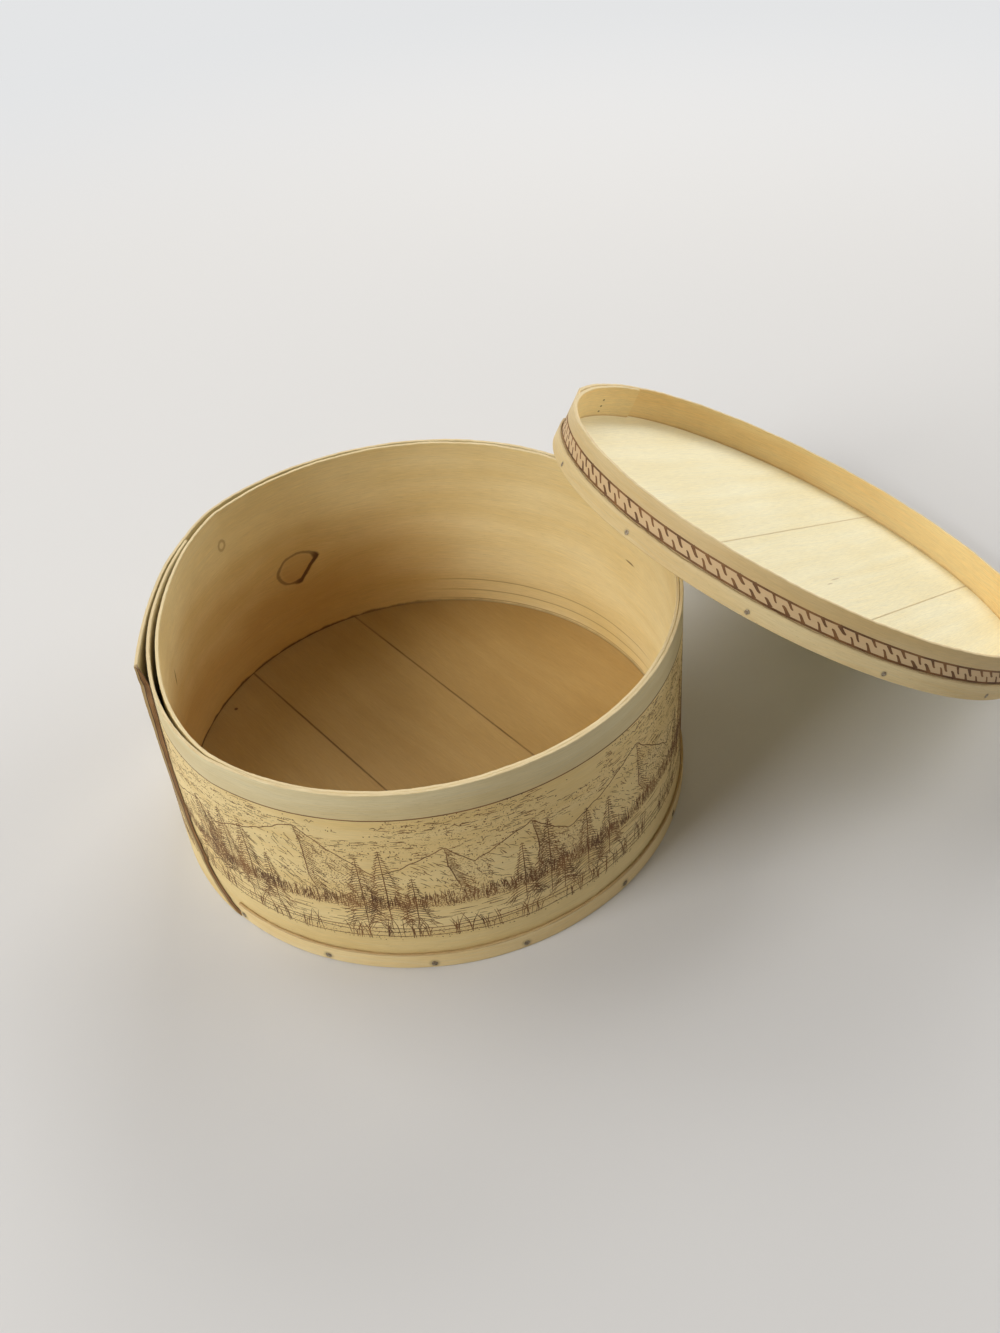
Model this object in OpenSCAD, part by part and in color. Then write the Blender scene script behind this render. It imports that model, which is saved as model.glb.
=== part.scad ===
// Round bentwood cheese box: a two-ply bent side on a boarded bottom, and a
// shallow boarded lid that has been lifted off and leaned on the rim, open side up.
// Millimetres. Origin: middle of the base, on the surface that the box stands on.
// +Z is up and +X points from the box towards the leaning lid.

/* [Box side] */
// Outside diameter of the side, over its outer ply
box_d = 400; // [300:1:500]
// Height of the side
box_h = 180; // [120:1:260]
// Thickness of each bent ply of the side
ply_t = 2.5; // [1.5:0.1:4]
// How far the inner ply stops below the outer ply's top edge
inner_drop = 0.8; // [0:0.1:3]
// Width of the butt joint between the inner ply's two ends
butt_gap = 0.6; // [0.3:0.1:3]

/* [Side lap] */
// Direction in which the outer ply starts to climb over its own first end
climb_from = 77; // [60:1:95]
// Angle that the climb takes
climb_span = 51; // [35:1:60]
// Angle of the lap past the climb, along the top edge
lap_top = 45; // [30:1:55]
// Angle of the lap past the climb, along the bottom edge
lap_low = 71; // [56:1:80]
// How much each face and edge of a lapped strip is shaved down where it climbs
skive = 0.25; // [0.2:0.05:0.4]
// Rows of tacks up the lap
side_tack_rows = 5; // [2:1:7]
// Columns of tacks along the lap
side_tack_columns = 2; // [1:1:3]
// Angle from the outer ply's first end to the first column of tacks
side_tack_inset = 8; // [5:1:12]
// Angle between the columns of tacks
side_tack_step = 10; // [6:1:12]
// Distance from the lap's edges to the nearest tack row
side_tack_margin = 22; // [15:1:35]

/* [Bottom] */
// Thickness of the bottom boards
board_t = 9.5; // [6:0.5:15]
// Width of the middle bottom board
board_w = 109; // [80:1:130]
// How far the middle board sits off the centre line
board_shift = 2.5; // [-15:0.5:15]
// Direction across the bottom boards
board_dir = 14; // [-90:1:90]
// Open seam between neighbouring boards
seam = 0.6; // [0.3:0.1:2]

/* [Hoops] */
// Height of the hoop round the foot of the side
hoop_h = 15; // [10:0.5:25]
// Height of the hoop round the lid
lid_hoop_h = 13; // [9:0.5:20]
// Thickness of both hoops
hoop_t = 2; // [1:0.1:4]
// Gap between a hoop's ends and the lap that they butt against
hoop_end_gap = 3; // [1:0.5:8]

/* [Nails and tacks] */
// Radius of a nail head
nail_head_r = 2.6; // [1.5:0.1:3]
// Thickness of a nail head
nail_head_t = 0.8; // [0.4:0.1:1.5]
// Radius of a nail's shank
nail_r = 0.9; // [0.5:0.05:1.2]
// How far a nail bites into the boards
nail_bite = 14; // [8:1:20]
// Distance along the hoop from its end to the first nail
nail_inset = 9; // [6:0.5:20]
// Angle between the nails of the bottom hoop
nail_step = 22; // [15:0.5:40]
// Angle between the nails of the lid's hoop
lid_nail_step = 28.5; // [15:0.5:40]
// Least distance along the edge from a seam between boards to a nail
nail_clear = 12; // [10:0.5:20]
// Radius of a tack head
tack_head_r = 2; // [1.2:0.1:2.5]
// Thickness of a tack head
tack_head_t = 0.6; // [0.3:0.1:1]
// Radius of a tack's shank
tack_r = 0.6; // [0.4:0.05:0.8]
// Wood left between a side tack's tip and the inside of the box
tack_stop = 0.5; // [0.2:0.1:1]

/* [Lid] */
// Height of the lid's rim
lid_h = 35.5; // [28:0.5:60]
// Thickness of the lid's bent rim
lid_rim_t = 3.5; // [2:0.1:6]
// Room between the lapped side and the inside of the lid
lid_room = 2; // [0.5:0.1:6]
// Thickness of the lid boards
lid_board_t = 8.5; // [6:0.5:12]
// Width of the middle lid board
lid_board_w = 116; // [80:1:150]
// How far the middle lid board sits off the lid's centre line
lid_board_shift = -48; // [-60:1:40]
// Direction across the lid boards, from the way that the lid leans
lid_board_dir = 113; // [60:1:150]
// Direction in which the lid's rim starts to climb over its first end
lid_climb_from = 50; // [30:1:90]
// Angle that this climb takes
lid_climb_span = 51; // [35:1:60]
// Angle of the lid's lap past the climb
lid_lap = 30; // [20:1:40]
// Number of tacks in the lid's lap
lid_tacks = 3; // [1:1:3]
// Height between the lid's tacks
lid_tack_step = 5.4; // [4.5:0.1:7]

/* [Leaning lid] */
// How far the lid's face reaches in over the box's rim
lean_over = 72; // [30:1:140]
// How far the lid's middle lies to the side of the box's middle
lean_aside = -30; // [-60:1:60]

/* [Clearances] */
// Gap between bent plies, hoops and boards that lie against each other
wood_gap = 0.3; // [0.1:0.05:0.6]
// Gap round a nail or tack in its hole, and under its head
hole_gap = 0.05; // [0.02:0.01:0.15]
// Gap between the leaning lid and the rim that it leans on
lean_gap = 0.3; // [0.1:0.1:1]

/* [Hidden] */
$fn = 180;
small_fn = 32;

pale_wood = [0.87, 0.78, 0.58];
cut_wood = [0.80, 0.66, 0.43];
hoop_wood = [0.83, 0.70, 0.45];
steel = [0.45, 0.42, 0.38];

// Angle by which the climb of a lapped strip runs on into its neighbours
tuck = 1;

// The side's radii, from the outside in
box_r = box_d / 2;
inner_r = box_r - ply_t - wood_gap;
room_r = inner_r - ply_t;
board_r = room_r - wood_gap;
inner_h = box_h - inner_drop;

// A point in a direction, and the direction of a point between 0 and 360 degrees
function dir(a) = [cos(a), sin(a)];
function heading(p) = (atan2(p.y, p.x) + 360) % 360;
// An angle brought between -180 and 180 degrees
function turn(a) = atan2(sin(a), cos(a));

// A lapped strip is three arcs that run into each other without a corner: the
// closed turn, a wider arc that climbs clear of the first end, and the lap.
// Radius of the arc that leaves a circle of radius r and rises by h over angle a
function climb_r(r, h, a) =
    let (k = 1 - cos(a))
    r + (sqrt(k * k * r * r + 2 * k * h * (2 * r + h)) - k * r) / (2 * k);
// Radius of the lap, whose free end after an angle of lap runs along the closed turn
function lap_r(r, h, span, lap) =
    let (wide = climb_r(r, h, span))
    wide - (wide - r) * sin(span + lap) / sin(lap);
// Centres of the climbing arc and of the lap
function climb_c(r, h, from, span) = (r - climb_r(r, h, span)) * dir(from);
function lap_c(r, h, from, span, lap) =
    climb_c(r, h, from, span)
    + (climb_r(r, h, span) - lap_r(r, h, span, lap)) * dir(from + span);
// Direction, from the axis, of the strip's first end, where the climb is over
function first_end(r, h, from, span) =
    heading(climb_c(r, h, from, span) + climb_r(r, h, span) * dir(from + span));
// Direction, from the axis, of a point of the lap at an angle past the climb
function lap_heading(r, h, from, span, lap, past) =
    heading(lap_c(r, h, from, span, lap) + lap_r(r, h, span, lap) * dir(from + span + past));
// Distance from the axis, in direction a, to a circle of radius r about c
function reach(c, r, a) = c * dir(a) + sqrt(r * r - c * c + pow(c * dir(a), 2));

// The side's lap
side_rise = ply_t + wood_gap;
side_first = first_end(box_r, side_rise, climb_from, climb_span);
lap_mean = (lap_top + lap_low) / 2;
side_lap_c = lap_c(box_r, side_rise, climb_from, climb_span, lap_mean);
side_lap_r = lap_r(box_r, side_rise, climb_span, lap_mean);
inner_butt = side_first + 180;

// The lid fits over the side and over the climb of its lap
lid_room_r = box_r + side_rise + lid_room;
lid_r = lid_room_r + lid_rim_t;
lid_board_r = lid_room_r - wood_gap;
lid_rise = lid_rim_t + wood_gap;
lid_first = first_end(lid_r, lid_rise, lid_climb_from, lid_climb_span);
lid_lap_c = lap_c(lid_r, lid_rise, lid_climb_from, lid_climb_span, lid_lap);
lid_lap_r = lap_r(lid_r, lid_rise, lid_climb_span, lid_lap);
lid_free =
    lap_heading(lid_r, lid_rise, lid_climb_from, lid_climb_span, lid_lap, lid_lap);

// The hoops run from the lap's free end to the foot of the climb
hoop_r = box_r + wood_gap + hoop_t;
hoop_from =
    lap_heading(box_r, side_rise, climb_from, climb_span, lap_mean, lap_low)
    + arc_angle(hoop_end_gap, hoop_r);
hoop_to = climb_from + 360 - arc_angle(hoop_end_gap, hoop_r);
lid_hoop_r = lid_r + wood_gap + hoop_t;
lid_hoop_from = lid_free + arc_angle(hoop_end_gap, lid_hoop_r);
lid_hoop_to = lid_climb_from + 360 - arc_angle(hoop_end_gap, lid_hoop_r);
function arc_angle(length, r) = length / r * 180 / PI;

// Nails stand at the boards' half height, tacks in rows and columns on the laps
nail_z = board_t / 2;
lid_nail_z = lid_board_t / 2;
nail_angles = [
    for (a = spread(hoop_from, hoop_to, arc_angle(nail_inset, hoop_r), nail_step))
        off_seams(a, seam_ends(board_r, board_w, board_shift, board_dir),
                  arc_angle(nail_clear, board_r))];
lid_nail_angles = [
    for (a = spread(lid_hoop_from, lid_hoop_to, arc_angle(nail_inset, lid_hoop_r),
                    lid_nail_step))
        off_seams(a, seam_ends(lid_board_r, lid_board_w, lid_board_shift, lid_board_dir),
                  arc_angle(nail_clear, lid_board_r))];
nail_tip_r = board_r - nail_bite;
lid_nail_tip_r = lid_board_r - nail_bite;
function spread(from, to, inset, step) = [for (a = [from + inset : step : to - inset]) a];
// Directions in which the seams of a boarded disc come out at its edge
function seam_ends(r, w, shift, across) =
    [for (row = [-1, 1], end = [-1, 1]) across + end * acos((shift + row * w / 2) / r)];
// A nail's direction, moved along the edge until it is clear of the nearest seam
function off_seams(a, ends, clear) =
    let (moves = [for (e = ends)
                     let (past = turn(a - e))
                         if (abs(past) < clear) (past < 0 ? -clear : clear) - past])
    len(moves) == 0 ? a : a + moves[0];

side_tack_rise = (box_h - 2 * side_tack_margin) / (side_tack_rows - 1);
side_tack_spots = [
    for (column = [0 : side_tack_columns - 1], row = [0 : side_tack_rows - 1])
        [side_first + side_tack_inset + column * side_tack_step,
         side_tack_margin + row * side_tack_rise]];
lid_tack_angle = (lid_first + lid_free) / 2;
lid_tack_middle = (lid_board_t + lid_h) / 2;
lid_tack_spots = [
    for (row = [0 : lid_tacks - 1])
        [lid_tack_angle + (row % 2 - 0.5) * arc_angle(lid_tack_step, lid_r),
         lid_tack_middle + (row - (lid_tacks - 1) / 2) * lid_tack_step]];
side_tack_tip_r = room_r + tack_stop;
lid_tack_tip_r = lid_room_r;

// The lid leans with its face on the rim and its lower edge on the ground
lean_length = 2 * lid_hoop_r - lean_over;
lean_tilt = asin((box_h + lean_gap) / lean_length);
lid_centre = [box_r + (lean_length - lid_hoop_r) * cos(lean_tilt), lean_aside,
              lid_hoop_r * sin(lean_tilt)];

// A bent strip: outer radius r, thickness t, between two heights and two directions
module bent(r, t, z0, z1, a0, a1) {
    rotate([0, 0, a0])
        rotate_extrude(angle = a1 - a0)
            translate([r - t, z0])
                square([t, z1 - z0]);
}

// A bent strip that climbs over its own first end; its free end is cut on a slant
// between the angle lap_hi along the top and lap_lo along the bottom. The climb is
// skived thinner, so that it bends, and runs on into the two arcs that it joins.
module lapped_strip(r, t, h, rise, from, span, lap_hi, lap_lo) {
    lap_mid = (lap_hi + lap_lo) / 2;
    free_r = lap_r(r, rise, span, lap_mid);
    slant = atan(free_r * (lap_lo - lap_hi) * PI / 180 / h);
    bent(r, t, 0, h, first_end(r, rise, from, span), from + 360);
    translate(climb_c(r, rise, from, span))
        bent(climb_r(r, rise, span) - skive, t - 2 * skive, skive, h - skive,
             from - tuck, from + span + tuck);
    translate(lap_c(r, rise, from, span, lap_mid))
        difference() {
            bent(free_r, t, 0, h, from + span, from + span + 2 * lap_lo);
            rotate([0, 0, from + span + lap_mid])
                translate([0, 0, h / 2])
                    rotate([slant, 0, 0])
                        translate([-2 * r, 0, -2 * h])
                            cube([4 * r, 4 * r, 4 * h]);
        }
}

// A round fastener that points at the axis: shank from tip_r out to seat_r, and a head
module fastener(angle, z, tip_r, seat_r, shank_r, head_r, head_t) {
    rotate([0, 0, angle])
        translate([0, 0, z])
            rotate([0, 90, 0]) {
                translate([0, 0, tip_r])
                    cylinder(r = shank_r, h = seat_r + hole_gap + head_t / 2 - tip_r,
                             $fn = small_fn);
                translate([0, 0, seat_r + hole_gap])
                    cylinder(r = head_r, h = head_t, $fn = small_fn);
            }
}

// The hole for such a fastener, from just short of its tip out through everything
module fastener_hole(angle, z, tip_r, out_r, shank_r) {
    rotate([0, 0, angle])
        translate([0, 0, z])
            rotate([0, 90, 0])
                translate([0, 0, tip_r - hole_gap])
                    cylinder(r = shank_r + hole_gap, h = out_r - tip_r, $fn = small_fn);
}

module nail_holes() {
    for (a = nail_angles)
        fastener_hole(a, nail_z, nail_tip_r, 2 * box_r, nail_r);
}

module lid_nail_holes() {
    for (a = lid_nail_angles)
        fastener_hole(a, lid_nail_z, lid_nail_tip_r, 2 * lid_r, nail_r);
}

module side_tack_holes() {
    for (spot = side_tack_spots)
        fastener_hole(spot[0], spot[1], side_tack_tip_r, 2 * box_r, tack_r);
}

module lid_tack_holes() {
    for (spot = lid_tack_spots)
        fastener_hole(spot[0], spot[1], lid_tack_tip_r - lid_rim_t, 2 * lid_r, tack_r);
}

// One board of a round boarded disc: row -1, 0 or 1 across it
module disc_board(r, t, w, shift, across, row) {
    near = row == 0 ? -w / 2 + seam / 2 : w / 2 + seam / 2;
    far = row == 0 ? w / 2 - seam / 2 : 2 * r;
    rotate([0, 0, across])
        intersection() {
            rotate([0, 0, -across])
                cylinder(r = r, h = t);
            translate([shift, 0, 0])
                mirror([row < 0 ? 1 : 0, 0, 0])
                    translate([near, -2 * r, 0])
                        cube([far - near, 4 * r, t]);
        }
}

module bottom_board(row) {
    color(cut_wood)
        difference() {
            disc_board(board_r, board_t, board_w, board_shift, board_dir, row);
            nail_holes();
        }
}

module lid_board(row) {
    color(pale_wood)
        on_lid()
            difference() {
                disc_board(lid_board_r, lid_board_t, lid_board_w, lid_board_shift,
                           lid_board_dir, row);
                lid_nail_holes();
            }
}

// Puts a piece of the lid, drawn face down at the origin, in its leaning place
module on_lid() {
    translate(lid_centre)
        rotate([0, lean_tilt, 0])
            children();
}

module inner_side() {
    half_butt = arc_angle(butt_gap / 2, inner_r);
    color(cut_wood)
        difference() {
            bent(inner_r, ply_t, 0, inner_h, inner_butt + half_butt,
                 inner_butt + 360 - half_butt);
            nail_holes();
            side_tack_holes();
        }
}

module outer_side() {
    color(pale_wood)
        difference() {
            lapped_strip(box_r, ply_t, box_h, side_rise, climb_from, climb_span,
                         lap_top, lap_low);
            nail_holes();
            side_tack_holes();
        }
}

module side_lap_tacks() {
    color(steel)
        for (spot = side_tack_spots)
            fastener(spot[0], spot[1], side_tack_tip_r,
                     reach(side_lap_c, side_lap_r, spot[0]), tack_r, tack_head_r, tack_head_t);
}

module bottom_board_1() {
    bottom_board(-1);
}

module bottom_board_2() {
    bottom_board(0);
}

module bottom_board_3() {
    bottom_board(1);
}

module bottom_hoop() {
    color(hoop_wood)
        difference() {
            bent(hoop_r, hoop_t, 0, hoop_h, hoop_from, hoop_to);
            nail_holes();
        }
}

module hoop_nails() {
    color(steel)
        for (a = nail_angles)
            fastener(a, nail_z, nail_tip_r, hoop_r, nail_r, nail_head_r, nail_head_t);
}

module lid_rim() {
    color(pale_wood)
        on_lid()
            difference() {
                lapped_strip(lid_r, lid_rim_t, lid_h, lid_rise, lid_climb_from,
                             lid_climb_span, lid_lap, lid_lap);
                lid_nail_holes();
                lid_tack_holes();
            }
}

module lid_lap_tacks() {
    color(steel)
        on_lid()
            for (spot = lid_tack_spots)
                fastener(spot[0], spot[1], lid_tack_tip_r,
                         reach(lid_lap_c, lid_lap_r, spot[0]), tack_r, tack_head_r, tack_head_t);
}

module lid_board_1() {
    lid_board(-1);
}

module lid_board_2() {
    lid_board(0);
}

module lid_board_3() {
    lid_board(1);
}

module lid_hoop() {
    color(hoop_wood)
        on_lid()
            difference() {
                bent(lid_hoop_r, hoop_t, 0, lid_hoop_h, lid_hoop_from, lid_hoop_to);
                lid_nail_holes();
            }
}

module lid_nails() {
    color(steel)
        on_lid()
            for (a = lid_nail_angles)
                fastener(a, lid_nail_z, lid_nail_tip_r, lid_hoop_r,
                         nail_r, nail_head_r, nail_head_t);
}

inner_side();
outer_side();
side_lap_tacks();
bottom_board_1();
bottom_board_2();
bottom_board_3();
bottom_hoop();
hoop_nails();
lid_rim();
lid_lap_tacks();
lid_board_1();
lid_board_2();
lid_board_3();
lid_hoop();
lid_nails();
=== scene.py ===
# A round bentwood cheese box with a boarded bottom, its lid lifted off and leaned on the rim.
# Metres, in the frame of the solids: +Z up, the box about the origin, the lid towards +X.

import math

import bmesh
import bpy
import numpy as np
from mathutils import Matrix, Vector


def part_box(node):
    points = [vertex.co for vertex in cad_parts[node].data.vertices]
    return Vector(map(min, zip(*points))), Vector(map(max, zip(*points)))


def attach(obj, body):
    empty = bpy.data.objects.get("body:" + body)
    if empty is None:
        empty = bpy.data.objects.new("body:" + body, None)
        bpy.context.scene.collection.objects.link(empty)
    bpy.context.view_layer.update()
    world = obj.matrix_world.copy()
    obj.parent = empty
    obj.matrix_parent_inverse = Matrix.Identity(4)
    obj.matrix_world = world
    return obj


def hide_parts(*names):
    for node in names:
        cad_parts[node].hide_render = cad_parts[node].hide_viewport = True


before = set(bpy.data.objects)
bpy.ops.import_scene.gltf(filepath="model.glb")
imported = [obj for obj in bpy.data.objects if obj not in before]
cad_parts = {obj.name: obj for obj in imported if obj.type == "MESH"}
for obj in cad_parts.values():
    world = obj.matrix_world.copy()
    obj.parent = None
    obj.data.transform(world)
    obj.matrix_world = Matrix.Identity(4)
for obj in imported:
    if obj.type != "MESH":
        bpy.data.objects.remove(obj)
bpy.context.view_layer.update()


# The studio. A pale seamless floor in soft daylight from the far left, and a camera
# that looks steeply down at the box and is rolled a little, as it was held by hand.
class Flow:
    """A shader node's output, or a bare tree to start from; operators on it add Math nodes."""

    def __init__(self, tree, output=None):
        self.tree = tree
        self.output = output

    def node(self, kind, settings=None, inputs=None, output=0):
        """Adds a node: its settings first, such as a ramp's stops, then its inputs."""
        made = self.tree.nodes.new("ShaderNode" + kind)
        for key, value in (settings or {}).items():
            setattr(made, key, value)
        for key, value in (inputs or {}).items():
            if isinstance(value, Flow):
                self.tree.links.new(value.output, made.inputs[key])
            else:
                made.inputs[key].default_value = value
        return Flow(self.tree, made.outputs[output])

    def math(self, operation, *values):
        """A Math node on the values given."""
        return self.node("Math", {"operation": operation}, dict(enumerate(values)))

    def __add__(self, other):
        return self.math("ADD", self, other)

    def __radd__(self, other):
        return self.math("ADD", other, self)

    def __sub__(self, other):
        return self.math("SUBTRACT", self, other)

    def __rsub__(self, other):
        return self.math("SUBTRACT", other, self)

    def __mul__(self, other):
        return self.math("MULTIPLY", self, other)

    def __rmul__(self, other):
        return self.math("MULTIPLY", other, self)

    def __truediv__(self, other):
        return self.math("DIVIDE", self, other)

    def __pow__(self, other):
        return self.math("POWER", self, other)

    def __abs__(self):
        return self.math("ABSOLUTE", self)

    def larger(self, other):
        """The larger of this value and another."""
        return self.math("MAXIMUM", self, other)

    def step(self, low, high):
        """Rises smoothly from 0 at low to 1 at high."""
        ends = {"Value": self, "From Min": low, "From Max": high}
        return self.node("MapRange", {"interpolation_type": "SMOOTHSTEP"}, ends)

    def blend(self, first, second):
        """Mixes two colours by this value."""
        return self.node("Mix", {"data_type": "RGBA"}, {0: self, 6: first, 7: second}, 2)

    def times(self, colour):
        """Multiplies this colour by another."""
        kind = {"data_type": "RGBA", "blend_type": "MULTIPLY"}
        return self.node("Mix", kind, {0: 1.0, 6: self, 7: colour}, 2)


def srgb(red, green, blue):
    """A colour as seen on a screen, 0 to 255, as the linear colour that a shader takes."""
    shares = np.array([red, green, blue]) / 255
    linear = np.where(shares <= 0.04045, shares / 12.92, ((shares + 0.055) / 1.055) ** 2.4)
    return (*linear.tolist(), 1)


def bare_material(name):
    """A new node material: its tree as a Flow to build from, and its main shader."""
    material = bpy.data.materials.new(name)
    material.use_nodes = True
    return material, Flow(material.node_tree), material.node_tree.nodes["Principled BSDF"]


def feed(shade, shader, **inputs):
    """Links or sets the main shader's inputs; underscores in their names stand for spaces."""
    for key, value in inputs.items():
        socket = shader.inputs[key.replace("_", " ")]
        if isinstance(value, Flow):
            shade.tree.links.new(value.output, socket)
        else:
            socket.default_value = value


def seen_directly(shade):
    """1 for rays that show the background itself: from the camera, or by way of gloss or glass."""
    kinds = ("Camera", "Glossy", "Transmission")
    straight, mirrored, through = (shade.node("LightPath", output=f"Is {kind} Ray") for kind in kinds)
    return straight.larger(mirrored).larger(through)


backdrop_white = srgb(228, 229, 230)
paper_grey = srgb(216, 216, 216)
floor_radius = 9.0
floor_drop = 0.0003
floor_fade = (0.95, 2.0)
floor_mesh = bpy.data.meshes.new("studio_floor")
floor_build = bmesh.new()
bmesh.ops.create_circle(floor_build, cap_ends=True, segments=96, radius=floor_radius)
floor_build.to_mesh(floor_mesh)
floor_build.free()
floor = bpy.data.objects.new("studio_floor", floor_mesh)
floor.location.z = -floor_drop
bpy.context.collection.objects.link(floor)
floor_paint, shade, shader = bare_material("floor_paper")
feed(shade, shader, Base_Color=paper_grey, Roughness=0.85)
spot = shade.node("TexCoord", output="Object")
away = shade.node("VectorMath", {"operation": "LENGTH"}, {0: spot}, "Value")
far_floor = away.step(*floor_fade) * seen_directly(shade)
paper = Flow(shade.tree, shader.outputs["BSDF"])
haze = shade.node("Emission", inputs={"Color": backdrop_white})
covered = shade.node("MixShader", inputs={0: far_floor, 1: paper, 2: haze})
shade.tree.links.new(covered.output, shade.tree.nodes["Material Output"].inputs["Surface"])
floor_mesh.materials.append(floor_paint)

world = bpy.data.worlds.new("soft_room")
bpy.context.scene.world = world
world.use_nodes = True
room = Flow(world.node_tree)
backdrop = world.node_tree.nodes["Background"]
room_light = (0.080, 0.062, 0.045, 1)
room_colour = seen_directly(room).blend(room_light, backdrop_white)
room.tree.links.new(room_colour.output, backdrop.inputs["Color"])

lamp_aim = Vector((0.12, 0, 0.1))
lamp_distance = 4.5
lamp_white = (1, 0.99, 0.97)
# Each lamp's name, heading and height in degrees, width and watts.
lamps = (
    ("left_window", 188, 30, 2.0, 124),
    ("high_left_sky", 127, 55, 2.5, 60),
    ("back_window", 54, 29, 2.5, 110),
    ("right_wall", 353, 30, 3.0, 68),
    ("front_left_wall", 235, 36, 3.0, 7),
)
for name, heading, height, size, watts in lamps:
    lamp = bpy.data.lights.new(name, "AREA")
    lamp.energy = watts
    lamp.size = size
    lamp.color = lamp_white
    light = bpy.data.objects.new(name, lamp)
    turn = Matrix.Rotation(math.radians(heading), 3, "Z")
    tilt = Matrix.Rotation(math.radians(-height), 3, "Y")
    way = turn @ tilt @ Vector((1, 0, 0))
    light.location = lamp_aim + way * lamp_distance
    light.rotation_mode = "QUATERNION"
    light.rotation_quaternion = way.to_track_quat("Z", "Y")
    bpy.context.collection.objects.link(light)

camera_place = Vector((-0.2384, -0.7311, 0.7878))
camera_heading = math.radians(22.69)
camera_pitch = math.radians(42.08)
camera_roll = math.radians(-5.83)
camera_data = bpy.data.cameras.new("camera")
camera_data.lens = 36.21
camera_data.sensor_width = 36
camera = bpy.data.objects.new("camera", camera_data)
ahead = Vector((math.sin(camera_heading) * math.cos(camera_pitch),
                math.cos(camera_heading) * math.cos(camera_pitch), -math.sin(camera_pitch)))
level = ahead.cross(Vector((0, 0, 1))).normalized()
upright = level.cross(ahead)
right = level * math.cos(camera_roll) + upright * math.sin(camera_roll)
over = upright * math.cos(camera_roll) - level * math.sin(camera_roll)
camera_turn = Matrix((right, over, -ahead)).transposed().to_4x4()
camera.matrix_world = Matrix.Translation(camera_place) @ camera_turn
bpy.context.collection.objects.link(camera)
bpy.context.scene.camera = camera
bpy.context.scene.view_settings.view_transform = "Standard"


# The inner ply of the side. A thin sheet of pale wood, peeled from the log and bent round
# the bottom boards until its ends meet; handling has yellowed it and worn its rim.
def wander(x, size, seed):
    """A smooth uneven line of about unit height, whose longest waves are as long as size."""
    waves = ((1.0, 1.7), (0.43, 3.1), (0.19, 5.3))
    swings = [share * np.sin(2 * np.pi * x / (size * share) + seed * turn) for share, turn in waves]
    return sum(swings) / sum(share for share, turn in waves)


def rough_line(x, waves, seed=0):
    """Several such lines in one, each from its height, its longest wave and a seed of its own."""
    return sum(high * wander(x, long, seed + own) for high, long, own in waves)


def ragged(x, seed):
    """The uneven height of a rough-cut edge, in metres."""
    return rough_line(x, ((0.00022, 0.05, 0), (0.00013, 0.011, 2)), seed)


def keep_numbers(mesh, name, numbers):
    """Keeps a number for each point of a mesh, under a name that its finish can read."""
    kept = mesh.attributes.new(name, "FLOAT", "POINT").data
    kept.foreach_set("value", np.ravel(numbers).astype(np.float32))


def put_in_scene(name, mesh):
    """A new object in the scene that shows a mesh."""
    piece = bpy.data.objects.new(name, mesh)
    bpy.context.collection.objects.link(piece)
    return piece


def smooth_but_sharp(mesh, degrees):
    """Shades a mesh smooth, apart from edges that turn by more than an angle."""
    mesh.polygons.foreach_set("use_smooth", [True] * len(mesh.polygons))
    mesh.set_sharp_from_angle(angle=math.radians(degrees))


def mesh_piece(name, points, faces, values):
    """A mesh object from points and faces, with a number per point under each name in values."""
    mesh = bpy.data.meshes.new(name)
    mesh.from_pydata(points, [], faces)
    for key, numbers in values.items():
        keep_numbers(mesh, key, numbers)
    smooth_but_sharp(mesh, 35)
    mesh.validate()
    mesh.update()
    return put_in_scene(name, mesh)


def bent_strip(name, reach, angle_at, radius_at, top_at, foot_at, thick, ease, along, rows,
               scarf_at=lambda up: (0, 0)):
    """A closed bent strip with eased edges, about as far from the middle as reach.

    angle_at(share, height share) gives a point's direction, radius_at(angle, height share)
    the outer face, and top_at and foot_at the heights of its edges at an angle. At the last
    end, scarf_at(height share) gives how far the inner face runs on and how far it bends in."""
    share = np.linspace(0, 1, along)[:, None]
    tall = float(top_at(np.zeros(1))[0] - foot_at(np.zeros(1))[0])
    up = np.concatenate(([0], np.linspace(ease / tall, 1 - ease / tall, rows), [1]))[None, :]
    edge = np.zeros(up.shape)
    edge[:, [0, -1]] = 1
    angle = angle_at(share, up)
    high = foot_at(angle) + up * (top_at(angle) - foot_at(angle))
    rings = []
    for depth, (runs_on, bends_in) in ((edge * ease, (0, 0)), (thick - edge * ease, scarf_at(up))):
        away = radius_at(angle, up) - depth - (share == 1) * bends_in
        turn = angle + (share == 1) * runs_on / reach
        rings.append(np.stack((away * np.cos(turn), away * np.sin(turn), high), axis=-1))
    outer, inner = rings
    ring = np.concatenate((outer, inner[:, ::-1]), axis=1)
    count = ring.shape[1]
    index = np.arange(along * count).reshape(along, count)
    following = np.roll(index, -1, axis=1)
    sides = np.stack((index[:-1], index[1:], following[1:], following[:-1]), axis=-1).reshape(-1, 4)
    level = np.arange(count // 2 - 1)
    cap = np.stack((level, level + 1, count - 2 - level, count - 1 - level), axis=-1)
    faces = np.concatenate((sides, cap, (index[-1][cap])[:, ::-1]))
    both = np.concatenate((angle, angle[:, ::-1]), axis=1)
    values = {
        "run": both * reach,
        "rise": ring[..., 2],
        "edge": np.concatenate((edge, edge), axis=1) * np.ones(ring.shape[:2]),
        "inside": np.concatenate((0 * up, 0 * up + 1), axis=1) * np.ones(ring.shape[:2]),
    }
    return mesh_piece(name, ring.reshape(-1, 3).tolist(), faces.tolist(), values)


def attribute(shade, name):
    """A number that the mesh keeps for each of its points."""
    return shade.node("Attribute", {"attribute_name": name}, output="Fac")


def run_and_rise(shade):
    """How far a point lies along its strip or board, and how high or how far across."""
    return attribute(shade, "run"), attribute(shade, "rise")


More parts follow.
